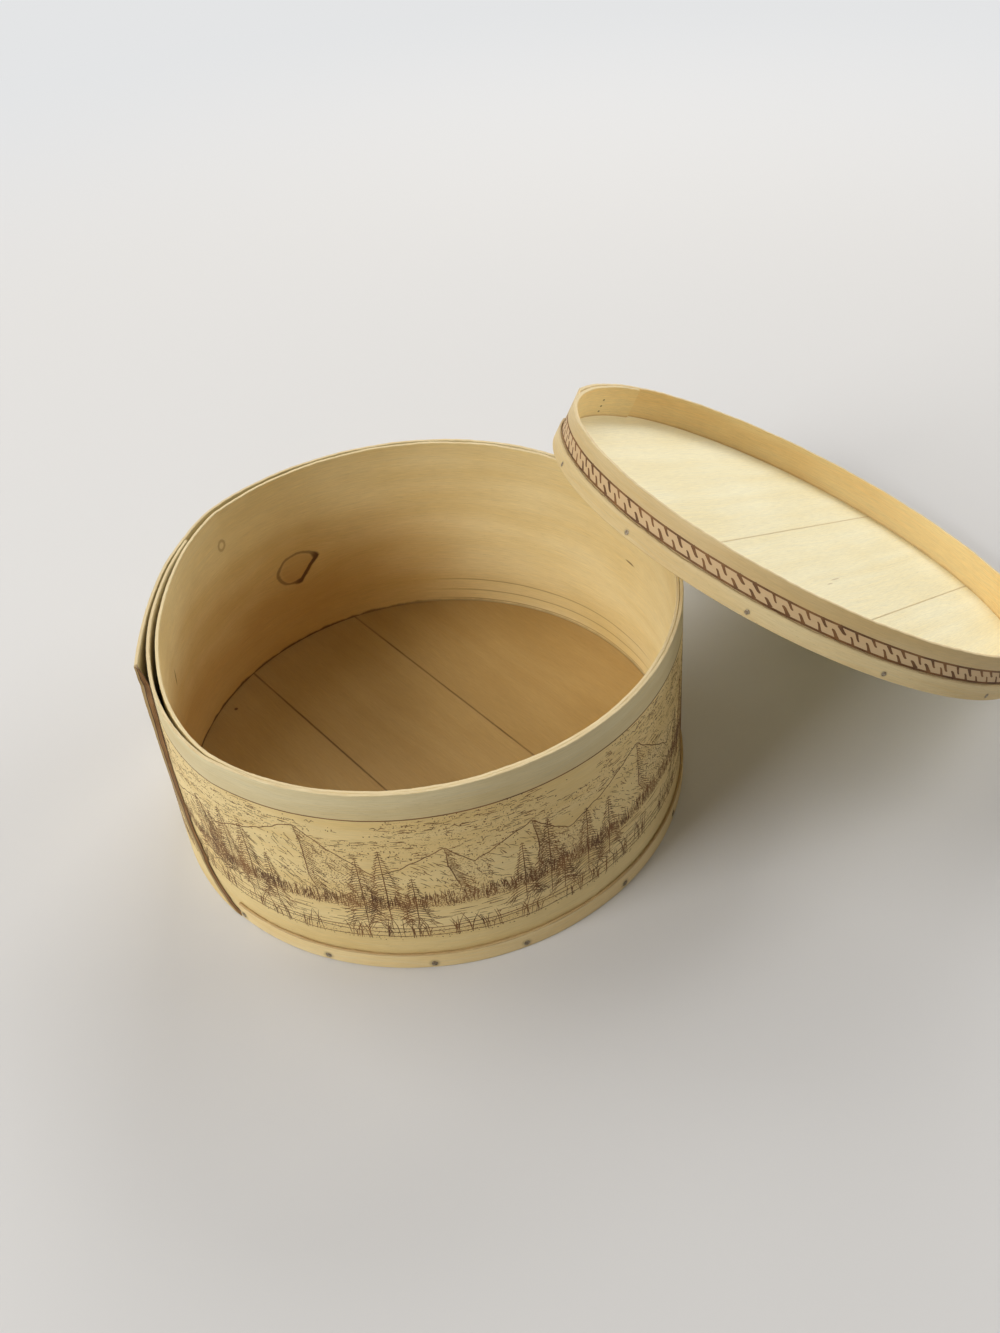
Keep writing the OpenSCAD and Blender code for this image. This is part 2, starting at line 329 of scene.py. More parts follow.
def noise(shade, x, y, seed, detail=2.0, rough=0.5):
    """Noise about 0 over two stretched directions."""
    spot = shade.node("CombineXYZ", inputs={"X": x, "Y": y, "Z": seed})
    options = {"Vector": spot, "Scale": 1.0, "Detail": detail, "Roughness": rough}
    return shade.node("TexNoise", inputs=options) - 0.5


def oval(run, rise, at, size):
    """How far a point is from the middle of an oval mark, 1 on its outline."""
    aside = (run - at[0]) / size[0]
    above = (rise - at[1]) / size[1]
    return (aside * aside + above * above) ** 0.5


def fleck(colour, run, rise, at, size, core, share, stain):
    """Stains an oval fleck by a share: all of it within its core, and less towards its outline."""
    return ((1 - oval(run, rise, at, size).step(core, 1.2)) * share).blend(colour, stain)


def peeled_wood(shade, run, rise, seed, pale, tan, figure=1.0):
    """Colour and height of pale flat-cut wood: broad figure, fine lines and small pores.

    Each layer's scales are in waves per metre, along the grain and across it."""
    sway = noise(shade, run * 5, rise * 22, seed, 3) * 0.03
    broad = noise(shade, run * 3.5, (rise + sway) * 48, seed + 1, 3)
    lines = noise(shade, run * 14, (rise + sway) * 620, seed + 2, 3, 0.6)
    fibre = noise(shade, run * 70, rise * 1300, seed + 3, 2, 0.6)
    pores = noise(shade, run * 160, rise * 2100, seed + 4, 1).step(0.17, 0.26)
    cloud = noise(shade, run * 9, rise * 11, seed + 5, 2)
    share = (0.5 + broad * 1.5 * figure + lines * 0.8 * figure + cloud * 0.9).step(0.0, 1.0)
    colour = share.blend(pale, tan)
    shadow = 1 + fibre * 0.34 - pores * 0.14 + lines * 0.28
    colour = colour.times(shade.node("CombineColor", inputs={0: shadow, 1: shadow, 2: shadow}))
    height = lines * 0.6 + fibre * 0.5 - pores * 0.8
    return colour, height


def bump(shade, height, depth):
    """The normal of a surface whose height runs over depth metres."""
    return shade.node("Bump", inputs={"Strength": 1.0, "Distance": depth, "Height": height})


def wood_finish(shade, shader, colour, height, dull, relief, shine):
    """Feeds a wood its colour, its dullness, its grain's relief in metres and its shine."""
    feed(shade, shader, Base_Color=colour, Roughness=dull + height * 0.1,
         Normal=bump(shade, height, relief), Specular_IOR_Level=shine)


def cut_edge(shade, run, colour, dark, pale):
    """Shows uneven layers of the wood on the sawn edges of a strip."""
    layers = noise(shade, run * 70, attribute(shade, "inside") * 7, 8).step(-0.25, 0.25)
    return attribute(shade, "edge").blend(colour, layers.blend(dark, pale))


def dress(piece, material, body, slot, *nodes):
    """Gives a piece its finish, and puts it on its body in the place of its solids."""
    piece.data.materials.append(material)
    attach(piece, body)
    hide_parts(*nodes)


ply_thick = 0.0025
ply_ease = 0.0004
wood_gap = 0.0003
side_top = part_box("outer_side")[1].z
inner_low, inner_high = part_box("inner_side")
inner_reach = inner_high.y
inner_grid = (800, 9)
inner_butt = math.radians(309.6)
butt_half = wood_gap / inner_reach
slack_at = math.radians(156)
slack_sides = (math.radians(38), math.radians(50))
bulge_at = math.radians(220)
bulge_sides = (math.radians(46), math.radians(46))
inner_slack = 0.0150
rim_bulge = 0.0024
rim_bend = 1.5
ply_wave = 0.00012


def swell(angle, middle, sides):
    """A smooth swelling round the rim: 1 in its middle, and 0 past its width to either side."""
    aside = (angle - middle + math.pi) % (2 * math.pi) - math.pi
    share = np.clip(np.abs(aside) / np.where(aside < 0, *sides), 0, 1)
    return np.cos(share * math.pi / 2)


def drawn_in(angle, up, deepest):
    """How far in from round a ply's free rim has gone where the plies lap; past there it bulges."""
    slack = deepest * swell(angle, slack_at, slack_sides) ** 1.2
    bulge = rim_bulge * swell(angle, bulge_at, bulge_sides)
    return (slack - bulge) * np.clip(up, 0, 1) ** rim_bend


def inner_radius(angle, up):
    """The inner ply follows the outer one, and stands off it where the rim is slack."""
    return inner_reach - drawn_in(angle, up, inner_slack) + ply_wave * wander(angle, 1.3, 2)


inner_side = bent_strip(
    "inner_side_ply", inner_reach,
    lambda share, up: inner_butt + butt_half + share * (2 * math.pi - 2 * butt_half) + 0 * up,
    inner_radius,
    lambda angle: inner_high.z + ragged(angle * inner_reach, 1),
    lambda angle: inner_low.z + 0 * angle,
    ply_thick, ply_ease, *inner_grid)


def round_at(degrees):
    """How far along the inner ply a direction lies, on the turn that starts at its butt."""
    return math.radians(degrees) * inner_reach


def sector(angle, opening, closing):
    """1 between two directions: it fades in and out over two pairs of degrees."""
    return angle.step(*map(math.radians, opening)) * (1 - angle.step(*map(math.radians, closing)))


inner_pale = srgb(240, 224, 176)
inner_tan = srgb(222, 198, 138)
inner_cut = (srgb(214, 190, 140), srgb(234, 218, 178))
knot_at = (round_at(459.6), 0.086)
knot_size = (0.0205, 0.0150)
knot_heart = srgb(196, 154, 92)
knot_bark = srgb(92, 56, 26)
pin_at = (round_at(479), 0.149)
pin_size = (0.0042, 0.0050)
pin_brown = srgb(140, 98, 54)
inner_slits = (((round_at(363.4), 0.116), (0.0065, 0.0011)), ((round_at(513.7), 0.108), (0.0011, 0.009)))
slit_brown = srgb(88, 58, 30)
thin_line_highs = (0.0125, 0.0225, 0.0345)
thin_line_brown = srgb(126, 90, 48)
foot_line_brown = srgb(92, 58, 28)
aged_and_shaded_brown = srgb(208, 180, 146)
inner_wood, shade, shader = bare_material("yellowed_inner_ply")
run, rise = run_and_rise(shade)
# The grain bends round a knot, which has bark along one flat side; a pin knot is nearby.
knot = oval(run, rise, knot_at, knot_size)
pull = (1 - knot.step(0.6, 3.2)) * 0.6
bent_rise = rise - (rise - knot_at[1]) * pull
colour, height = peeled_wood(shade, run, bent_rise, 11, inner_pale, inner_tan, 0.5)
flat_side = (knot_at[0] - run) / knot_size[0] * 1.25 + (knot_at[1] - rise) / knot_size[1] * 0.9
outline = knot.larger(flat_side) + noise(shade, run * 90, rise * 90, 3) * 0.22
bark = flat_side.step(0.2, 1.0)
ring = 1 - abs(outline - 0.95).step(0.03 + bark * 0.06, 0.11 + bark * 0.13)
colour = ((1 - outline.step(0.7, 1.0)) * 0.4).blend(colour, knot_heart)
colour = (ring * (0.6 + bark * 0.35)).blend(colour, knot_bark)
pin = oval(run, rise, pin_at, pin_size)
colour = ((1 - abs(pin - 0.85).step(0.1, 0.4)) * 0.45).blend(colour, pin_brown)
for at, size in inner_slits:
    colour = fleck(colour, run, rise, at, size, 0.5, 0.8, slit_brown)
# Thin brown lines and a dark line run along the foot; age and painted shade darken the lower part.
angle = run / inner_reach
# Thin brown lines at three heights over part of the round.
lined_span = sector(angle, (350, 362), (412, 430))
drift = noise(shade, run * 9, 0.0, 5) * 0.004
for high in thin_line_highs:
    line = abs(rise - high + drift)
    colour = ((1 - line.step(0.0002, 0.0009)) * lined_span * 0.5).blend(colour, thin_line_brown)
# A dark line at the foot of the wall, stronger over part of the round.
darker_foot_span = sector(angle, (418, 455), (560, 600))
blot = noise(shade, run * 70, 0.0, 6, 3) * 0.006
foot_line = (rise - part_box("bottom_board_2")[1].z - blot).step(0.0028, 0.0006)
colour = (foot_line * (0.35 + darker_foot_span * 0.5)).blend(colour, foot_line_brown)
# Painted shade and age browning darken the lower wall over part of the round.
aged_and_shaded = sector(angle, (395, 460), (520, 600))
aged_and_shaded = aged_and_shaded * (1 - (rise + noise(shade, run * 14, rise * 18, 7) * 0.06).step(0.04, 0.17))
colour = (aged_and_shaded * 0.9).blend(colour, colour.times(aged_and_shaded_brown))
colour = cut_edge(shade, run, colour, *inner_cut)
wood_finish(shade, shader, colour, height, 0.62, 0.00012, 0.35)
dress(inner_side, inner_wood, "box", "inner_ply", "inner_side")


# The outer ply of the side. It is one long strip that runs round the inner ply, climbs over
# its own first end and laps far past it; the free end is torn off on a slant and springs away.
box_reach = inner_reach + wood_gap + ply_thick
side_rise = ply_thick + wood_gap
outer_grid = (1100, 56)
first_end = math.radians(129.6)
climb_from = math.radians(77 + 360)
climb_span = math.radians(51)
lap_top = math.radians(45)
lap_low = math.radians(72.5)
lap_bend = 0.5
tear_waves = ((0.0016, 0.035, 4), (0.0010, 0.009, 9))
fibre_least = 0.0022
fibre_most = 0.0045
fibre_uneven = 0.0016
fibre_clear = 0.0006
lap_slack = 0.0115
lap_spring = 0.0065
lap_clear = 0.0002
parted = 0.0033
parted_at = math.radians(170)
parted_sides = (math.radians(42), math.radians(42))


def lap_span(up):
    """How far the lap runs on past its climb at a share of the height: its end is cut on a slant."""
    return lap_low + (lap_top - lap_low) * np.clip(up, 0, 1) ** lap_bend


def lap_end(up):
    """Direction of the torn free end at a share of the height."""
    torn = rough_line(up * side_top, tear_waves)
    return climb_from + climb_span + lap_span(up) + torn / box_reach


def outer_radius(angle, up):
    """The outer ply parts from the inner one where the rim is slack; its lap springs off above."""
    climb = np.clip((angle - climb_from) / climb_span, 0, 1)
    lapped = np.clip((angle - climb_from - climb_span) / lap_span(up), 0, 1)
    spring = lap_spring * lapped**4 * np.clip(up, 0, 1) ** 2.5 + lap_clear * lapped
    wrap_in = drawn_in(angle, up, inner_slack)
    wrap_in = wrap_in - parted * swell(angle, parted_at, parted_sides) * np.clip(up, 0, 1) ** rim_bend
    lap_in = drawn_in(angle, up, lap_slack)
    lap_share = np.clip(lapped * 4, 0, 1)
    return (box_reach + side_rise * climb**2 * (3 - 2 * climb) + spring
            - wrap_in - (lap_in - wrap_in) * lap_share)


def lap_scarf(up):
    """How far the torn end's inner fibres reach past its outer face, and in towards the wrap."""
    end = lap_end(up)
    gap = outer_radius(end, up) - ply_thick - outer_radius(end - 2 * math.pi, up)
    runs_on = fibre_least + fibre_most * np.sin(up * math.pi)
    runs_on = runs_on + fibre_uneven * wander(up * side_top, 0.028, 7)
    return runs_on, np.clip(gap - fibre_clear, 0, None) * (1 - up**16)


outer_side = bent_strip(
    "outer_side_ply", box_reach,
    lambda share, up: first_end + share * (lap_end(up) - first_end),
    outer_radius,
    lambda angle: side_top + ragged(angle * box_reach, 5),
    lambda angle: 0 * angle,
    ply_thick, ply_ease, *outer_grid, lap_scarf)
# The last two rows of points, at the free end, show torn wood.
torn = np.zeros((outer_grid[0], 2 * (outer_grid[1] + 2)))
torn[-2:] = ((0.55,), (1.0,))
keep_numbers(outer_side.data, "torn", torn)

picture_top = 0.156
picture_foot = 0.030
outer_pale = srgb(233, 222, 186)
outer_tan = srgb(219, 200, 152)
outer_cut = (srgb(206, 180, 128), srgb(232, 216, 176))
drawn_cast = srgb(251, 239, 209)
plain_cast = srgb(235, 232, 222)
plain_fade = 0.0006
dot_brown = srgb(140, 98, 52)
torn_outside = srgb(158, 134, 90)
torn_dark = srgb(88, 56, 24)
torn_pale = srgb(148, 108, 58)
split_and_edge_shade = srgb(56, 34, 14)
outer_wood, shade, shader = bare_material("pale_outer_ply")
run, rise = run_and_rise(shade)
colour, height = peeled_wood(shade, run, rise, 31, outer_pale, outer_tan)
# The plain rim is greyer than the drawn part, which is dotted with the hot point.
plain_rim = rise.step(picture_top - plain_fade, picture_top + plain_fade)
colour = plain_rim.blend(colour.times(drawn_cast), colour.times(plain_cast))
grain = noise(shade, run * 850, rise * 850, 9, 1.0)
dots = (grain * 1.4 + attribute(shade, "dotted") * 0.5 - 0.44).step(0.0, 0.1)
colour = (dots * 0.75).blend(colour, dot_brown)
colour = cut_edge(shade, run, colour, *outer_cut)
# The torn end shows its layers: the pale outside and darker fibres, with painted shade in a split between
# them and along the inner edge.
inside = attribute(shade, "inside")
splinter = noise(shade, rise * 70, inside * 12, 10, 3).step(-0.2, 0.2)
layer = inside + noise(shade, rise * 60, 3.0, 12, 3) * 0.4
fibres = splinter.blend(torn_dark, torn_pale)
fibres = layer.step(0.30, 0.38).blend(torn_outside, fibres)
# Painted shade: dark in the split between the layers and along the end's inner edge.
split = (1 - abs(layer - 0.38).step(0.02, 0.10)).larger(layer.step(0.84, 1.0))
fibres = (split * 0.9).blend(fibres, split_and_edge_shade)
colour = attribute(shade, "torn").blend(colour, fibres)
wood_finish(shade, shader, colour, height, 0.6, 0.00010, 0.35)
dress(outer_side, outer_wood, "box", "outer_ply", "outer_side")


# The burnt frieze. Fine lines and dots drawn into the outer ply with a hot point: a border
# line under the plain rim, and below it an invented lake shore with peaks, firs and reeds.
def mark(points, width, tip=0.5):
    """One stroke of the hot point: its line on the unrolled strip, and a width finer at its ends."""
    line = np.array(points, float)
    press = np.sin(np.linspace(0, np.pi, len(line)))
    return line, width * (tip + (1 - tip) * press)


def burn(name, marks, reach, radius_at, tall, proud=0.00007, sunk=0.00015):
    """All strokes as thin closed slivers let into the outer face of a bent strip."""
    flat, faces = [], []
    start = 0
    for line, width in marks:
        along = np.gradient(line, axis=0)
        along /= np.maximum(np.linalg.norm(along, axis=1, keepdims=True), 1e-9)
        aside = np.stack((-along[:, 1], along[:, 0]), axis=1) * width[:, None] / 2
        for offset, out in ((aside, proud), (-aside, proud), (-aside, -sunk), (aside, -sunk)):
            flat.append(np.column_stack((line + offset, np.full(len(line), out))))
        count = len(line)
        rows = start + np.arange(4)[:, None] * count + np.arange(count)
        for row, following in zip(rows, np.roll(rows, -1, axis=0)):
            faces.append(np.stack((row[:-1], row[1:], following[1:], following[:-1]), axis=-1))
        faces.append(np.stack((rows[:, 0], rows[::-1, -1])))
        start += 4 * count
    run, high, out = np.concatenate(flat).T
    angle = run / reach
    away = radius_at(angle, high / tall) + out
    points = np.stack((away * np.cos(angle), away * np.sin(angle), high), axis=-1)
    return mesh_piece(name, points.tolist(), np.concatenate(faces).tolist(), {"run": run, "rise": high})


chance = np.random.default_rng(21)
border_pen = 0.0010
firm_pen = 0.0008
plain_pen = 0.0007
fine_pen = 0.0006
hair_pen = 0.0005
end_margin = 0.0025
picture_from = math.radians(168) * box_reach
picture_to = math.radians(562) * box_reach
peak_runs = picture_from + np.cumsum(chance.uniform(0.055, 0.115, 17))
peak_tops = chance.uniform(0.112, 0.146, len(peak_runs))
shore_high = 0.043
lake_high = 0.064
wood_high = 0.078
pass_high = 0.094
crag_waves = ((0.0012, 0.05, 3), (0.0006, 0.012, 8))
groves = (0.097, 0.232, 0.342, 0.512, 0.672, 0.822, 0.972, 1.102, 1.235, 1.33)
bird_count = 26
dot_count = 19500


def skyline(run):
    """Height of the mountains over the unrolled strip."""
    beyond = np.asarray(run, float)[..., None] - peak_runs
    flanks = peak_tops - 0.7 * np.abs(beyond) * (1 + 0.3 * np.sign(beyond))
    return np.maximum(flanks.max(axis=-1), pass_high) + rough_line(run, crag_waves)


def tone(run, high):
    """How closely the wood is dotted at a place on the unrolled strip, from 0 to 1."""
    beyond = run[..., None] - peak_runs
    nearest = np.abs(beyond).argmin(axis=-1)[..., None]
    shaded = np.take_along_axis(beyond, nearest, axis=-1)[..., 0] > 0
    cloudy = wander(run, 0.17, 2) + 1.2 * wander(high, 0.06, 6) > 0.45
    tops = (picture_foot, shore_high, lake_high, wood_high, skyline(run), picture_top)
    shares = (0, 0.6, 0.1, 0.95, np.where(shaded, 0.75, 0.35), np.where(cloudy, 0.08, 0.55))
    return np.select([high < top for top in tops], shares, 0) * ((run > picture_from) & (run < picture_to))


def fir(run, foot, tall):
    """A fir: a trunk line and drooping boughs that shorten towards its tip."""
    marks = [mark([(run, foot), (run + 0.0005, foot + tall / 2), (run, foot + tall)], firm_pen)]
    tier_high = 0.0028
    tiers = int(tall / tier_high)
    for tier in range(tiers):
        share = (tier + 0.6) / tiers
        high = foot + tall * (0.12 + 0.88 * share)
        for side in (-1, 1):
            reach = tall * 0.27 * (1 - share) * chance.uniform(0.7, 1.15) + 0.0012
            droop = reach * chance.uniform(0.3, 0.65)
            bend = (run + side * reach * 0.5, high - droop * 0.3)
            end = run + side * reach
            marks.append(mark([(run, high), bend, (end, high - droop)], plain_pen))
            marks.append(mark([bend, (end - side * reach * 0.25, high - droop * 1.2)], fine_pen))
    return marks


def reeds(run, foot, blades):
    """A tuft of bending reeds on the shore."""
    marks = []
    for blade in range(blades):
        tall = chance.uniform(0.010, 0.024)
        lean = chance.uniform(-0.35, 0.35) * tall
        root = run + chance.uniform(-0.008, 0.008)
        bend = (root + lean * 0.25, foot + tall * 0.55)
        marks.append(mark([(root, foot), bend, (root + lean, foot + tall)], fine_pen, 0.3))
    return marks


def strokes(count, low, high, long, rise, width):
    """Short strokes strewn between two heights; long and rise give the range of their run and climb."""
    starts = np.column_stack((chance.uniform(picture_from, picture_to - long[1], count),
                              chance.uniform(low, high, count)))
    spans = np.column_stack((chance.uniform(*long, count), chance.uniform(*rise, count)))
    return [(start, span, width) for start, span in zip(starts, spans)]


drawing = []
border_runs = np.arange(picture_from, picture_to, 0.004)
border_highs = picture_top + 0.0003 * wander(border_runs, 0.21, 5)
drawing.append(mark(np.column_stack((border_runs, border_highs)), border_pen, 0.9))
ridge_runs = np.arange(picture_from, picture_to, 0.0025)
drawing.append(mark(np.column_stack((ridge_runs, skyline(ridge_runs))), firm_pen, 0.9))
for peak, top in zip(peak_runs, peak_tops):
    falls = np.linspace(0, 1, 9)
    sway = 0.004 * wander(falls, 0.9, peak * 90) * falls + 0.006 * falls
    spine = np.column_stack((peak + sway, top - falls * (top - wood_high)))
    drawing.append(mark(spine, firm_pen, 0.4))
    for fall in np.linspace(0.03, 0.95, 26):
        at = np.array((np.interp(fall, falls, spine[:, 0]), np.interp(fall, falls, spine[:, 1])))
        length = chance.uniform(0.35, 1.0) * (0.004 + 0.022 * fall)
        hatch = at + length * np.array(((0, 0), (0.45, -0.3), (0.8, -0.62)))
        drawing.append(mark(hatch, fine_pen, 0.3))
flank = strokes(2500, wood_high, 0.145, (0.002, 0.007), (-0.006, -0.002), hair_pen)
woods = strokes(3150, lake_high, wood_high - 0.003, (-0.001, 0.001), (0.003, 0.009), fine_pen)
ripples = strokes(590, shore_high + 0.002, lake_high - 0.001, (0.004, 0.018), (-0.0004, 0.0004), hair_pen)
haze = strokes(2900, 0.10, picture_top - 0.002, (0.002, 0.008), (-0.0008, 0.0008), hair_pen)
for strewn, sky in ((flank, False), (woods, False), (ripples, False), (haze, True)):
    for start, span, width in strewn:
        above = start[1] > skyline(start[0])
        bare = sky and tone(start[:1], start[1:])[0] < 0.3
        if above == sky and not bare:
            drawing.append(mark([start, start + span / 2 + (0, 0.0002), start + span], width, 0.3))
for grove in groves:
    for tree in range(chance.integers(3, 6)):
        run = picture_from + grove + 0.017 * tree + chance.uniform(-0.004, 0.004)
        drawing += fir(run, chance.uniform(0.040, 0.052), chance.uniform(0.042, 0.086))
for run in np.arange(picture_from + 0.01, picture_to, 0.026):
    foot = picture_foot + chance.uniform(0.0005, 0.004)
    drawing += reeds(run + chance.uniform(-0.006, 0.006), foot, chance.integers(8, 14))
shore_runs = np.arange(picture_from, picture_to, 0.005)
shore_lines = ((shore_high, plain_pen), (shore_high - 0.0035, fine_pen), (picture_foot + 0.004, fine_pen))
for high, width in shore_lines:
    shore_line = high + 0.0012 * wander(shore_runs, 0.17, high * 900)
    drawing.append(mark(np.column_stack((shore_runs, shore_line)), width, 0.9))
bird_runs = chance.uniform(picture_from, picture_to, bird_count)
bird_highs = chance.uniform(0.136, 0.151, bird_count)
for run, high in zip(bird_runs, bird_highs):
    if high > skyline(run) + 0.006:
        wing = chance.uniform(0.003, 0.006)
        for side in (-1, 1):
            bend = (run + side * wing / 2, high + 0.0022)
            drawing.append(mark([(run, high), bend, (run + side * wing, high + 0.0012)], plain_pen))
dot_runs = chance.uniform(picture_from, picture_to, dot_count)
dot_highs = chance.uniform(picture_foot, picture_top, dot_count)
dotted = chance.uniform(0, 1, dot_count) < 0.8 * tone(dot_runs, dot_highs)
for run, high in zip(dot_runs[dotted], dot_highs[dotted]):
    turn = chance.uniform(0, math.pi)
    long = chance.uniform(0.0005, 0.0012)
    tip = (run + long * math.cos(turn), high + long * math.sin(turn))
    drawing.append(mark([(run, high), tip], chance.uniform(hair_pen, firm_pen), 1))
trimmed = []
for line, width in drawing:
    on_strip = line[:, 0] < lap_end(line[:, 1] / side_top) * box_reach - end_margin
    if on_strip.sum() > 1:
        trimmed.append((line[on_strip], width[on_strip]))
burnt_frieze = burn("burnt_frieze", trimmed, box_reach, outer_radius, side_top)
runs, highs, faces_in = np.empty((3, len(outer_side.data.vertices)), np.float32)
for key, numbers in (("run", runs), ("rise", highs), ("inside", faces_in)):
    outer_side.data.attributes[key].data.foreach_get("value", numbers)
keep_numbers(outer_side.data, "dotted", tone(runs, highs) * (1 - faces_in))

scorched = srgb(88, 57, 28)
toasted = srgb(132, 91, 49)
burnt_brown, shade, shader = bare_material("burnt_brown_line")
run, rise = run_and_rise(shade)
heat = noise(shade, run * 60, rise * 60, 2, 3).step(-0.2, 0.2)
feed(shade, shader, Base_Color=heat.blend(scorched, toasted), Roughness=0.75)
burnt_frieze.data.materials.append(burnt_brown)
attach(burnt_frieze, "box")


# The bottom. Three sawn boards laid side by side and rounded together to fit inside the
# bent side; the nails of the foot's hoop hold them there.
def plank(name, reach, edge_at, thick, near, far, across, ease=0.0002):
    """One board of a boarded disc, between two distances across it from the middle.

    reach is the disc's own; edge_at(direction) is where its edge is cut."""
    steps = 120
    build = bmesh.new()
    spread = [math.acos(min(1, max(-1, gap / reach))) for gap in (far, near)]
    turns = np.linspace(spread[0], spread[1], steps)
    outline = [(edge_at(a + across) * math.cos(a), edge_at(a + across) * math.sin(a)) for a in turns]
    other = [(edge_at(across - a) * math.cos(a), -edge_at(across - a) * math.sin(a)) for a in turns[::-1]]
    if near <= -reach:
        other = other[1:]
    if far >= reach:
        other = other[:-1]
    face = build.faces.new([build.verts.new((x, y, 0)) for x, y in outline + other])
    grown = bmesh.ops.extrude_face_region(build, geom=[face])["geom"]
    raised = [part for part in grown if isinstance(part, bmesh.types.BMVert)]
    bmesh.ops.translate(build, vec=(0, 0, thick), verts=raised)
    bmesh.ops.recalc_face_normals(build, faces=build.faces)
    corners = [e for e in build.edges if e.calc_face_angle(0) > math.radians(30)]
    bmesh.ops.bevel(build, geom=corners, offset=ease, segments=2, affect="EDGES", profile=0.5)
    mesh = bpy.data.meshes.new(name)
    build.to_mesh(mesh)
    build.free()
    spots = np.array([v.co for v in mesh.vertices])
    keep_numbers(mesh, "run", spots[:, 1])
    keep_numbers(mesh, "rise", spots[:, 0])
    mesh.transform(Matrix.Rotation(across, 4, "Z"))
    return put_in_scene(name, mesh)


def side_by_side(reach, seams):
    """The two edges of each board of a disc, with a fine gap at its seams."""
    half = 0.00012
    lows = (-reach, seams[0] + half, seams[1] + half)
    highs = (seams[0] - half, seams[1] - half, reach)
    return enumerate(zip(lows, highs), 1)


def seam_line(shade, run, rise, seam, seed, core, edge):
    """1 along an uneven seam between boards, fading out from core to edge beside it."""
    beside = abs(rise - seam) + noise(shade, run * 60, 0.0, seed) * 0.0006
    return 1 - beside.step(core, edge)


board_reach = inner_reach - ply_thick - wood_gap
board_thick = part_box("bottom_board_2")[1].z
board_across = math.radians(14)
board_middle = 0.0025
board_half = 0.0545
board_seams = (board_middle - board_half, board_middle + board_half)
pinhole_at = (0.160, -0.0879)
pinhole_size = (0.0017, 0.0017)
pinhole_brown = srgb(80, 50, 25)
board_pale = srgb(187, 157, 103)
board_tan = srgb(171, 139, 84)
seam_dirt = srgb(96, 64, 30)
for number, (near, far) in side_by_side(board_reach, board_seams):
    board = plank(
        f"bottom_plank_{number}", board_reach, lambda direction: board_reach,
        board_thick, near, far, board_across)
    board_wood, shade, shader = bare_material(f"bottom_board_wood_{number}")
    run, rise = run_and_rise(shade)
    seed = 50 + 7 * number
    colour, height = peeled_wood(shade, run, rise, seed, board_pale, board_tan, 0.7)
    for seam in board_seams:
        crack = seam_line(shade, run, rise, seam, number, 0.0004, 0.0013)
        dirt = 0.35 + noise(shade, run * 16, seam * 90, 4, 3).step(-0.2, 0.2) * 0.45
        colour = (crack * dirt).blend(colour, seam_dirt)
    colour = fleck(colour, run, rise, pinhole_at, pinhole_size, 0.6, 0.85, pinhole_brown)
    wood_finish(shade, shader, colour, height, 0.62, 0.00012, 0.3)
    dress(board, board_wood, "box", "bottom_boards", f"bottom_board_{number}")


# The hoop round the foot. A narrow split band that butts against the lap at both ends and
# holds the side to the boards; its nails have stained the wood round their heads.
def fastener_spots(node, apart, to_local=Matrix.Identity(4)):
    """Direction and height of each nail or tack head of a solid node, found by their nearness."""
    top_of_head = 0.0002
    spots = np.array([to_local @ v.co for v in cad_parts[node].data.vertices])
    reach = np.hypot(spots[:, 0], spots[:, 1])
    heads = []
    for spot in spots[reach > reach.max() - top_of_head]:
        near = [head for head in heads if np.linalg.norm(np.mean(head, axis=0) - spot) < apart]
        if near:
            near[0].append(spot)
        else:
            heads.append([spot])
    middles = [np.mean(head, axis=0) for head in heads]
    return sorted((math.atan2(y, x) % (2 * math.pi), z) for x, y, z in middles)


def stain_by(piece, reach, spots, size):
    """Writes how near each point of a hoop is to a nail, 1 at the nail and 0 past size."""
    points = np.array([v.co for v in piece.data.vertices])
    stain = np.zeros(len(points))
    for angle, high in spots:
        nail = np.array((reach * math.cos(angle), reach * math.sin(angle), high))
        stain = np.maximum(stain, 1 - np.linalg.norm(points - nail, axis=1) / size)
    keep_numbers(piece.data, "stain", np.clip(stain, 0, 1))


def hoop_wood(name, seed, pale, tan, top, line):
    """Split hoop wood: yellower than the side, painted shade along its top edge, stains at the nails."""
    material, shade, shader = bare_material(name)
    run, rise = run_and_rise(shade)
    colour, height = peeled_wood(shade, run, rise, seed, pale, tan, 1.2)
    # Painted shade: a dark line just under the top edge, where the hoop steps out from the side.
    step_shade = (rise - top + noise(shade, run * 40, 0.0, seed + 9) * 0.0008).step(-0.0016, -0.0002)
    colour = (step_shade * line).blend(colour, step_shade_brown)
    stain = attribute(shade, "stain") + noise(shade, run * 500, rise * 500, seed + 8) * 0.25
    colour = (stain.step(0.3, 0.85) * 0.5).blend(colour, nail_stain)
    wood_finish(shade, shader, colour, height, 0.58, 0.00012, 0.35)
    return material


def hoop_band(name, reach, ends, top, wave, rough, seeds, grid):
    """A hoop between two directions: wave and rough are its unevenness outwards and at its top."""
    return bent_strip(
        name, reach,
        lambda share, up: ends[0] + share * (ends[1] - ends[0]) + 0 * up,
        lambda angle, up: reach + wave[0] * wander(angle, wave[1], seeds[0]) + 0 * up,
        lambda angle: top + rough * ragged(angle * reach, seeds[1]),
        lambda angle: 0 * angle,
        hoop_thick, hoop_ease, *grid)


